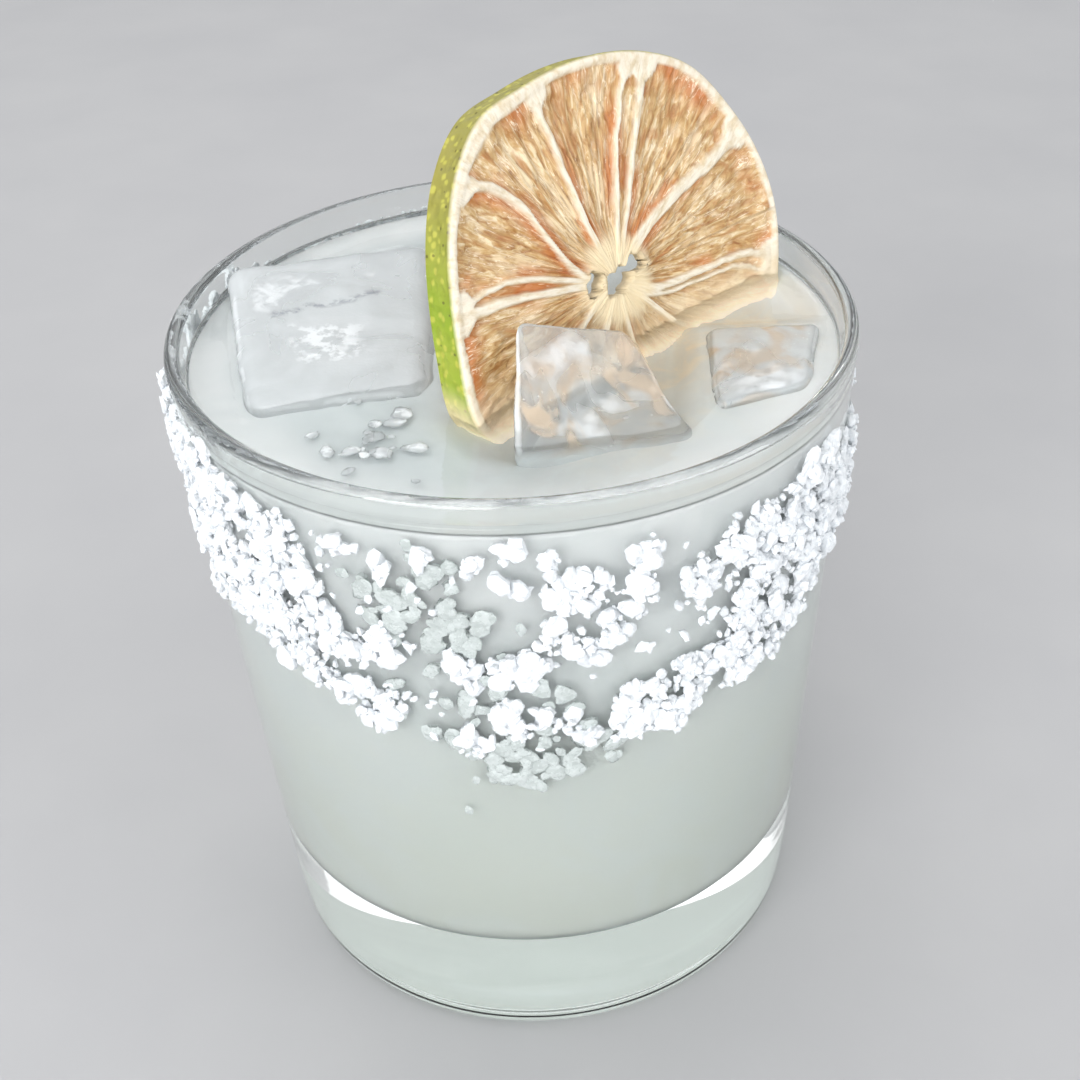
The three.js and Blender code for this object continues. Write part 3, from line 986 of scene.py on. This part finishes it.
def tilts(random, count, most):
    """Small random turns away from the wall."""
    axis = random.normal(size=(count, 3))
    axis[:, 2] = 0
    axis /= np.linalg.norm(axis, axis=1)[:, None]
    angle = random.normal(size=count) * most
    cross = np.zeros((count, 3, 3))
    cross[:, 0, 2] = axis[:, 1]
    cross[:, 1, 2] = -axis[:, 0]
    cross[:, 2, 0] = -axis[:, 1]
    cross[:, 2, 1] = axis[:, 0]
    sine = np.sin(angle)[:, None, None]
    cosine = np.cos(angle)[:, None, None]
    return np.eye(3) + sine * cross + (1 - cosine) * (cross @ cross)


def rough_balls(random, corners, radii, flat, tilt):
    """Rough, flattened balls that lie in the XY plane, one for each radius."""
    count = len(radii)
    rough = np.ones((count, len(corners)))
    for pitch, strength in GRAIN_WAVES:
        aim = random.normal(size=(count, 3)) * pitch
        start = random.uniform(0, FULL_TURN, (count, 1))
        rough += strength * np.sin(aim @ corners.T + start)
    rough += GRAIN_GRIT * random.normal(size=rough.shape)
    scale = np.column_stack([
        random.uniform(*GRAIN_LENGTHS, count),
        random.uniform(*GRAIN_WIDTHS, count),
        random.uniform(flat - 0.12, flat + 0.15, count),
    ])
    points = corners[None] * rough[:, :, None] * scale[:, None, :] * radii[:, None, None]
    spin = random.uniform(0, FULL_TURN, count)
    cosine = np.cos(spin)[:, None]
    sine = np.sin(spin)[:, None]
    spun = np.stack([
        points[:, :, 0] * cosine - points[:, :, 1] * sine,
        points[:, :, 0] * sine + points[:, :, 1] * cosine,
        points[:, :, 2],
    ], axis=-1)
    return np.einsum("nij,nkj->nki", tilts(random, count, tilt), spun)


def make_grains(name, places, radii, random, shape, flat=0.6, tilt=0.35):
    """One mesh of rough grains. A place is angle, height and distance from the wall's outside."""
    corners, shape_faces = shape
    places = np.array(places)
    radii = np.array(radii)
    count = len(places)
    angle = np.radians(places[:, 0] - 90)
    height = places[:, 1]
    out = outer_radius(height) + places[:, 2]
    centres = around(out, angle, height)
    points = rough_balls(random, corners, radii, flat, tilt)
    across = np.column_stack([-np.sin(angle), np.cos(angle), np.zeros(count)])
    outward = around(1, angle, np.zeros(count))
    world = (
        centres[:, None, :]
        + points[:, :, :1] * across[:, None, :]
        + points[:, :, 1:2] * np.array((0.0, 0.0, 1.0))
        + points[:, :, 2:] * outward[:, None, :]
    )
    world = world.reshape(-1, 3)
    radius = np.hypot(world[:, 0], world[:, 1])
    world[:, :2] *= np.minimum(1, CRUST_REACH / radius)[:, None]
    world[:, 0] = np.minimum(world[:, 0], CRUST_RIGHT)
    return make_piece(name, world, copies(shape_faces, len(corners), count), smooth=False)


def pile(random, clump, layers, sizes, places, radii):
    """Adds the places and radii of the grains piled in one clump."""
    angle, height, wide, tall = clump
    degrees = math.degrees(1 / outer_radius(height))
    for reach, spacing, out in layers:
        area = math.pi * wide * tall * reach * reach / 4
        for _ in range(max(1, round(area / (spacing * spacing)))):
            far = math.sqrt(random.random()) * reach
            turn = random.random() * 2 * math.pi
            across = far * wide / 2 * math.cos(turn)
            up = far * tall / 2 * math.sin(turn)
            away = out + random.uniform(-0.15, 0.25)
            places.append((angle + across * degrees, height + up, away))
            radii.append(random.uniform(*sizes))


def make_salt():
    """The crust: broad flakes piled in the clumps, and small grains round and between them."""
    random = np.random.default_rng(CRUST_SEED)
    flakes = ([], [])
    small = ([], [])
    for clump in spread_crust():
        pile(random, clump, FLAKE_LAYERS, FLAKE_RADII, *flakes)
        pile(random, clump, GRAIN_LAYERS, GRAIN_RADII, *small)
    for _ in range(FILL_GRAINS):
        angle = random.uniform(-180, 180)
        place = random.uniform(0.06, 0.9)
        height = lerp(crust_edge(angle, 2), crust_edge(angle, 1), place)
        if crust_share(angle, height) < 1 and random.random() > STRAY_SHARE:
            continue
        small[0].append((angle, height, random.uniform(0.0, 0.25)))
        small[1].append(random.uniform(*FILL_RADII))
    ball = grain_shape()
    crust = make_grains("salt_crust", *flakes, random, finer(*ball))
    grains = make_grains("salt_grains", *small, random, ball, flat=0.75, tilt=0.8)
    look = salt_material()
    for piece in (crust, grains):
        piece.data.materials.append(look)
        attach(piece, "root")
        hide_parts("glass")


def make_wet_salt():
    """Damp, half clear grains on the thin middle of the crust, and stray ones beside it."""
    random = np.random.default_rng(WET_SEED)
    places = []
    radii = []
    for angle, height, wide, tall in WET_PATCHES:
        for _ in range(WET_GRAINS):
            places.append((
                angle + random.normal() * wide * 0.75,
                height + random.normal() * tall * 0.65,
                random.uniform(-0.1, 0.05),
            ))
            radii.append(random.uniform(*WET_RADII))
    shape = finer(*grain_shape())
    piece = make_grains("salt_wet", places, radii, random, shape, flat=0.22, tilt=0.08)
    piece.data.materials.append(wet_salt_material())
    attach(piece, "root")
    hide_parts("glass")


# Lime wheel

def outline_radius(degrees):
    """The wheel's outline, a smooth closed curve through its named radii."""
    count = len(WHEEL_OUTLINE)
    radii = np.array(WHEEL_OUTLINE, float)
    place = (np.asarray(degrees) % 360) / (360 / count)
    step = np.floor(place).astype(int)
    share = place - step
    before, start, end, after = (radii[(step + k) % count] for k in (-1, 0, 1, 2))
    return 0.5 * (
        2 * start
        + (end - before) * share
        + (2 * before - 5 * start + 4 * end - after) * share ** 2
        + (3 * start - before - 3 * end + after) * share ** 3
    )


def through_three(first, middle, last, share):
    """A smooth curve through three values, at shares 1, 0.5 and 0."""
    return (
        first * 2 * share * (share - 0.5)
        + middle * 4 * share * (1 - share)
        + last * 2 * (share - 0.5) * (share - 1)
    )


def turn_between(first, second):
    """Degrees from the second angle to the first, the short way."""
    return (first - second + 180) % 360 - 180


def membranes(degrees, radius, rim):
    """How much a point is on a membrane, and how near it is to one's side."""
    share = np.clip((radius - 5) / (rim - 7), 0, 1)
    on = np.zeros_like(radius)
    beside = np.zeros_like(radius)
    for number, (ring, middle, core, at_ring, halfway, at_core) in enumerate(MEMBRANES):
        place = through_three(ring, middle, core, share)
        place = place + 1.1 * noise(radius / 3.4, np.full_like(radius, number * 7.7), 60)
        half = 0.8 * through_three(at_ring, halfway, at_core, share)
        half = half + 1.5 * ramp(0.91, 1.0, share)
        half = half * (1 + 0.25 * noise(radius / 2.2, np.full_like(radius, number * 3.1), 61))
        away = np.abs(np.radians(turn_between(degrees, place))) * radius
        on = np.maximum(on, ramp(half + 0.22, half - 0.12, away))
        beside = np.maximum(beside, ramp(half + 2.4, half + 0.2, away))
    return on, beside


def vesicles(degrees, radius):
    """The pulp's long juice cells, which point to the core: their bulge and the creases between."""
    across = degrees / CELL_DEGREES + 0.9 * noise(degrees / 14, radius / 5, 71)
    along = radius / CELL_LENGTH + 0.6 * noise(degrees / 9, radius / 4, 72)
    cell_x = np.floor(across).astype(np.int64)
    cell_y = np.floor(along).astype(np.int64)
    nearest = np.full_like(radius, 9.0)
    second = np.full_like(radius, 9.0)
    for step_x in (-1, 0, 1):
        for step_y in (-1, 0, 1):
            spot_x = (cell_x + step_x) % CELLS_ROUND
            spot_y = cell_y + step_y
            centre_x = cell_x + step_x + 0.15 + 0.7 * lattice(spot_x, spot_y, 81)
            centre_y = cell_y + step_y + 0.1 + 0.8 * lattice(spot_x, spot_y, 82)
            away = np.hypot(across - centre_x, (along - centre_y) * 0.8)
            second = np.minimum(second, np.maximum(nearest, away))
            nearest = np.minimum(nearest, away)
    return np.clip(1 - nearest ** 2 * 1.3, 0, 1), ramp(0.16, 0.02, second - nearest)


def face_relief(degrees, radius, rim, seed):
    """Height of the wheel's face above its plane, what each point is made of, and where shade is
    painted on the pulp.
    """
    on, beside = membranes(degrees, radius, rim)
    pith = PITH + 0.45 * noise(degrees / 16, np.full_like(radius, 2.5), 91)
    start, middle, end = PITH_BROAD_AT
    pith = pith + PITH_BROAD * ramp(end, middle, degrees) * ramp(start, middle, degrees)
    inner = rim - pith
    ring = ramp(inner - 0.35, inner + 0.15, radius)
    core = ramp(7.2, 4.2, radius + 1.2 * noise(degrees / 20, radius / 3, 93))
    tissue = np.maximum(np.maximum(on, ring), core * 0.75)
    bulge, crease = vesicles(degrees, radius)
    sag = ramp(3, 9, radius) * ramp(0, 4, inner - radius)
    folds = noise(degrees / 7, radius / 6, seed)
    ruck = noise(degrees / 5.5, radius / 9, seed + 9, 4)
    pulp = -0.5 - 0.6 * sag + 0.3 * (bulge - 0.6) - 0.2 * crease
    pulp = pulp + 0.35 * folds + 0.5 * ruck
    white = -0.08 - 0.2 * (1 - ring) + 0.12 * noise(degrees / 5, radius / 2.2, seed + 3)
    height = lerp(pulp, white, np.clip(tissue, 0, 1))
    by_membrane = ramp(-0.1, 0.5, noise(degrees / 11, radius / 7, seed + 5))
    by_ring = ramp(-0.3, 0.4, noise(degrees / 9, radius / 9, seed + 6))
    # Orange-brown beside membranes and inside the ring: partly the pulp's own brown, partly painted
    # shade.
    brown_and_shade = np.maximum(
        np.clip(beside * (1 - on), 0, 1) * by_membrane,
        ramp(4.5, 0.4, inner - radius) * (1 - ring) * by_ring,
    )
    crease = crease * (1 - tissue)
    return height, {"tissue": tissue, "crease": crease, "brown_and_shade": brown_and_shade, "core": core}


def hole_distance(across, up):
    """Distance outside the nearest of the core's holes, and that hole's centre."""
    best = np.full_like(across, 99.0)
    centre_x = np.zeros_like(across)
    centre_y = np.zeros_like(across)
    for number, (x, y, size) in enumerate(CORE_HOLES):
        turn = np.arctan2(up - y, across - x)
        ragged = 1 + 0.22 * np.sin(turn * 2 + number) + 0.12 * np.sin(turn * 5 + number * 2)
        away = np.hypot(across - x, up - y) - 1.2 * size * ragged
        nearer = away < best
        best = np.where(nearer, away, best)
        centre_x = np.where(nearer, x, centre_x)
        centre_y = np.where(nearer, y, centre_y)
    return best, centre_x, centre_y


def make_wheel():
    """Front face, rounded edge, skin, rounded edge and back face, a ring of points at a time."""
    degrees = np.arange(WHEEL_COLUMNS) * 360 / WHEEL_COLUMNS
    rim = outline_radius(degrees)
    flat_edge = rim - WHEEL_EDGE
    rows = []
    masks = {"tissue": [], "crease": [], "brown_and_shade": [], "core": [], "skin": []}
    polar = []

    def add_row(radius, height, marks):
        turn = np.radians(degrees)
        height = np.broadcast_to(height, radius.shape)
        rows.append(around(radius, turn, height))
        polar.append(np.column_stack([turn * PATTERN_RADIUS, radius, height]))
        for key in masks:
            masks[key].append(np.broadcast_to(marks.get(key, 0.0), radius.shape))

    def add_edge(steps, back):
        """Rings of the rounded edge between a face and the skin."""
        for step in steps:
            turn = math.radians(90 * step / EDGE_STEPS)
            skin = float(ramp(0.35, 0.8, step / EDGE_STEPS))
            drop = -WHEEL_EDGE * (1 - math.cos(turn))
            height = -WHEEL_THICKNESS - drop if back else drop
            add_row(flat_edge + WHEEL_EDGE * math.sin(turn), height, {"tissue": 1.0, "skin": skin})

    shares = np.linspace(0, 1, WHEEL_ROWS) ** WHEEL_CROWDING
    for share in shares:
        radius = lerp(WHEEL_MIDDLE, flat_edge, share)
        height, marks = face_relief(degrees, radius, rim, 40)
        add_row(radius, height, marks)
    add_edge(range(1, EDGE_STEPS), back=False)
    for step in range(SKIN_STEPS + 1):
        height = lerp(-WHEEL_EDGE, WHEEL_EDGE - WHEEL_THICKNESS, step / SKIN_STEPS)
        bumps = 0.16 * noise(degrees / 2.6, np.full(WHEEL_COLUMNS, height / 1.3), 47, 2)
        add_row(rim + bumps - 0.22, height, {"tissue": 1.0, "skin": 1.0})
    add_edge(range(EDGE_STEPS - 1, 0, -1), back=True)
    for share in shares[::-1]:
        radius = lerp(WHEEL_MIDDLE, flat_edge, share)
        height, marks = face_relief(degrees, radius, rim, 50)
        hollow = CORE_HOLLOW * ramp(10, 5, radius)
        add_row(radius, -WHEEL_THICKNESS - height + hollow, marks)
    points = np.vstack(rows)
    count = len(rows)
    faces = np.array(ring_faces(count, WHEEL_COLUMNS))
    keep, points = open_core(points, faces, count)
    faces = faces[keep]
    faces = np.vstack([faces, core_walls(keep, count)])
    world = (
        WHEEL_CORE
        + points[:, :1] * WHEEL_ALONG
        + points[:, 1:2] * WHEEL_UP
        + points[:, 2:] * WHEEL_OUT
    )
    piece = make_piece("lime_wheel_slice", world, faces.tolist())
    for key, values in masks.items():
        store(piece, key, np.concatenate(values))
    store(piece, "polar", np.vstack(polar))
    piece.data.materials.append(lime_material())
    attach(piece, "root")
    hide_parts("lime_wheel")


def open_core(points, faces, count):
    """Which faces stay when the core's holes are cut, and the points with smooth hole edges."""
    away, centre_x, centre_y = hole_distance(points[:, 0], points[:, 1])
    inside = away < 0
    ring = np.arange(len(points)) // WHEEL_COLUMNS
    on_face = (ring < WHEEL_ROWS) | (ring >= count - WHEEL_ROWS)
    inside &= on_face
    cut = inside[faces].all(axis=1)
    edge = np.zeros(len(points), bool)
    edge[np.unique(faces[cut])] = True
    edge &= np.isin(np.arange(len(points)), np.unique(faces[~cut]))
    push = np.where(edge, -away, 0)[:, None]
    from_centre = np.column_stack([points[:, 0] - centre_x, points[:, 1] - centre_y])
    length = np.maximum(0.01, np.linalg.norm(from_centre, axis=1))[:, None]
    moved = points.copy()
    moved[:, :2] += from_centre / length * push
    return ~cut, moved


def core_walls(keep, count):
    """Quads that join the front's hole edges to the back's."""
    kept = keep.reshape(count - 1, WHEEL_COLUMNS)
    walls = []

    def mirror(point):
        ring, column = divmod(point, WHEEL_COLUMNS)
        return (count - 1 - ring) * WHEEL_COLUMNS + column

    def join(first, second):
        walls.append((first, second, mirror(second), mirror(first)))

    for ring in range(WHEEL_ROWS - 1):
        for column in range(WHEEL_COLUMNS):
            if not kept[ring, column]:
                continue
            after = (column + 1) % WHEEL_COLUMNS
            before = (column - 1) % WHEEL_COLUMNS
            corner = ring * WHEEL_COLUMNS + column
            next_corner = ring * WHEEL_COLUMNS + after
            if ring == 0 or not kept[ring - 1, column]:
                join(next_corner, corner)
            if not kept[ring + 1, column]:
                join(corner + WHEEL_COLUMNS, next_corner + WHEEL_COLUMNS)
            if not kept[ring, before]:
                join(corner, corner + WHEEL_COLUMNS)
            if not kept[ring, after]:
                join(next_corner + WHEEL_COLUMNS, next_corner)
    return np.array(walls)


# Ice

def crack_distance(points):
    """How far points are from the crack line on the left cube's top, seen from above."""
    start, end = np.array(CRACK_START), np.array(CRACK_END)
    line = end - start
    share = np.clip((points[:, :2] - start) @ line / (line @ line), 0, 1)
    nearest = start + share[:, None] * line
    nearest[:, 1] += CRACK_WANDER * noise(share * 7, share * 0, 6)
    return np.hypot(*(points[:, :2] - nearest).T)


def make_shards(look):
    """Slivers of ice afloat in front of the left cube."""
    random = np.random.default_rng(SHARD_SEED)
    corners, shape_faces = finer(*grain_shape())
    places = []
    for x, y, spread, count in SHARD_GROUPS:
        for _ in range(count):
            places.append((x + random.normal() * spread, y + random.normal() * spread * 1.2))
    count = len(places)
    radii = random.uniform(*SHARD_RADII, count)
    points = rough_balls(random, corners, radii, 0.2, 0.1)
    levels = DRINK_LEVEL + random.uniform(-0.25, 0.0, count)
    centres = np.column_stack([np.array(places), levels])
    world = (points + centres[:, None, :]).reshape(-1, 3)
    piece = make_piece("ice_shards", world, copies(shape_faces, len(corners), count))
    store(piece, "milky", np.full(len(world), 0.6))
    store(piece, "frost", np.full(len(world), 1.0))
    piece.data.materials.append(look)
    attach(piece, "root")


def cube_grid():
    """Points and faces of a cube from -1 to 1, each side a grid of its own."""
    steps = np.linspace(-1, 1, ICE_STEPS + 1)
    points = []
    faces = []
    for axis in range(3):
        for side in (-1, 1):
            first = len(points)
            for a in steps:
                for b in steps:
                    spot = [0, 0, 0]
                    spot[axis] = side
                    spot[(axis + 1) % 3] = a
                    spot[(axis + 2) % 3] = b
                    points.append(spot)
            for i in range(ICE_STEPS):
                for j in range(ICE_STEPS):
                    corner = first + i * (ICE_STEPS + 1) + j
                    quad = (corner, corner + ICE_STEPS + 1, corner + ICE_STEPS + 2, corner + 1)
                    faces.append(quad if side > 0 else quad[::-1])
    return np.array(points, float), faces


def make_ice(name, look):
    """A cube with rounded edges, drawn to its eight corners and dented."""
    seed, milky = ICE_LOOKS[name]
    corners = np.array(ICE_CORNERS[name], float).reshape(2, 4, 3)
    order = {(-1, -1): 0, (1, -1): 1, (1, 1): 2, (-1, 1): 3}
    spots, faces = cube_grid()
    edge = ramp(0.84, 0.97, np.sort(np.abs(spots), axis=1)[:, 1])
    core = np.clip(spots, -(1 - ICE_ROUNDING), 1 - ICE_ROUNDING)
    away = spots - core
    spots = core + away / np.linalg.norm(away, axis=1)[:, None] * ICE_ROUNDING
    world = np.zeros_like(spots)
    for (x, y), place in order.items():
        for layer, z in enumerate((-1, 1)):
            weight = (1 + x * spots[:, 0]) * (1 + y * spots[:, 1]) * (1 + z * spots[:, 2]) / 8
            world += weight[:, None] * corners[layer, place]
    middle = world.mean(axis=0)
    outward = world - middle
    outward /= np.linalg.norm(outward, axis=1)[:, None]
    wave = noise(world[:, 0] / 6 + world[:, 2] / 8, world[:, 1] / 6, seed)
    fine = noise(world[:, 0] / 2.2, world[:, 1] / 2.2 + world[:, 2] / 2.5, seed + 4)
    world += outward * (ICE_DENTS * wave + ICE_FINE_DENTS * fine)[:, None]
    piece = make_piece(name + "_cube", world, faces)
    # Near the cube's edges, where the ice is whiter: partly frost, partly painted highlight.
    store(piece, "edge", edge)
    store(piece, "milky", np.full(len(edge), milky))
    if name == "ice_left":
        patch = np.hypot(*((world[:, :2] - FROST_PLACE) / FROST_SIZE).T)
        patch = patch + 0.35 * noise_above(world, 2.5, 3)
        store(piece, "frost", ramp(1.25, 0.35, patch))
        store(piece, "crack", 0.9 * ramp(0.75, 0.2, crack_distance(world)))
    out = wheel_distance(world)[0]
    # Where the wheel's painted reflection goes on the ice: in front of the wheel and below its top.
    store(piece, "wheel_reflection", ramp(34, 4, out) * ramp(-3, 1, out) * ramp(104, 96, world[:, 2]))
    merge_close(piece)
    piece.data.materials.append(look)
    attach(piece, "root")
    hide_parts(name)


def merge_close(piece):
    """Joins the sides of a cube along their edges."""
    mesh = bmesh.new()
    mesh.from_mesh(piece.data)
    bmesh.ops.remove_doubles(mesh, verts=mesh.verts, dist=MERGE_WITHIN * MM)
    bmesh.ops.recalc_face_normals(mesh, faces=mesh.faces)
    mesh.to_mesh(piece.data)
    mesh.free()
    piece.data.shade_smooth()


# Stage

def make_floor():
    corners = ((-1, -1), (1, -1), (1, 1), (-1, 1))
    points = [(FLOOR_REACH * x, FLOOR_REACH * y, 0) for x, y in corners]
    floor = make_piece("floor", points, [(0, 1, 2, 3)], smooth=False)
    floor.data.materials.append(floor_material())


def make_world():
    world = bpy.data.worlds.new("studio")
    shader = Shader(world, "Background")
    height = shader.parts(shader.node("ShaderNodeTexCoord").outputs["Generated"])[2]
    shader.set(Color=shader.colours(height, *SKY_SHADES))
    bpy.context.scene.world = world


def add_light(name, place, size, power):
    light = bpy.data.lights.new(name, "AREA")
    light.shape = "RECTANGLE"
    light.size, light.size_y = size
    light.energy = power
    lamp = bpy.data.objects.new(name, light)
    lamp.location = place
    lamp.rotation_euler = (Vector(LIGHT_AIM) - Vector(place)).to_track_quat("-Z", "Y").to_euler()
    bpy.context.scene.collection.objects.link(lamp)


def add_camera():
    camera = bpy.data.cameras.new("camera")
    camera.sensor_width = SENSOR_WIDTH
    camera.lens = SENSOR_WIDTH * FOCAL_PIXELS / IMAGE_PIXELS
    camera.shift_x = SHIFT_PIXELS / IMAGE_PIXELS
    camera.clip_start = 0.01
    holder = bpy.data.objects.new("camera", camera)
    back = [-value for value in CAMERA_AHEAD]
    turn = Matrix((CAMERA_RIGHT, CAMERA_UP, back)).transposed()
    holder.matrix_world = Matrix.Translation(CAMERA_PLACE) @ turn.to_4x4()
    bpy.context.scene.collection.objects.link(holder)
    bpy.context.scene.camera = holder


add_camera()
make_world()
for light_name, light_settings in LIGHTS.items():
    add_light(light_name, *light_settings)
make_floor()
bpy.context.scene.view_settings.view_transform = "Standard"

make_glass()
make_drink_cloud()
make_drink_surface()
make_salt()
make_wet_salt()
make_wheel()
ice_look = ice_material()
for ice_name in ICE_LOOKS:
    make_ice(ice_name, ice_look)
make_shards(ice_look)
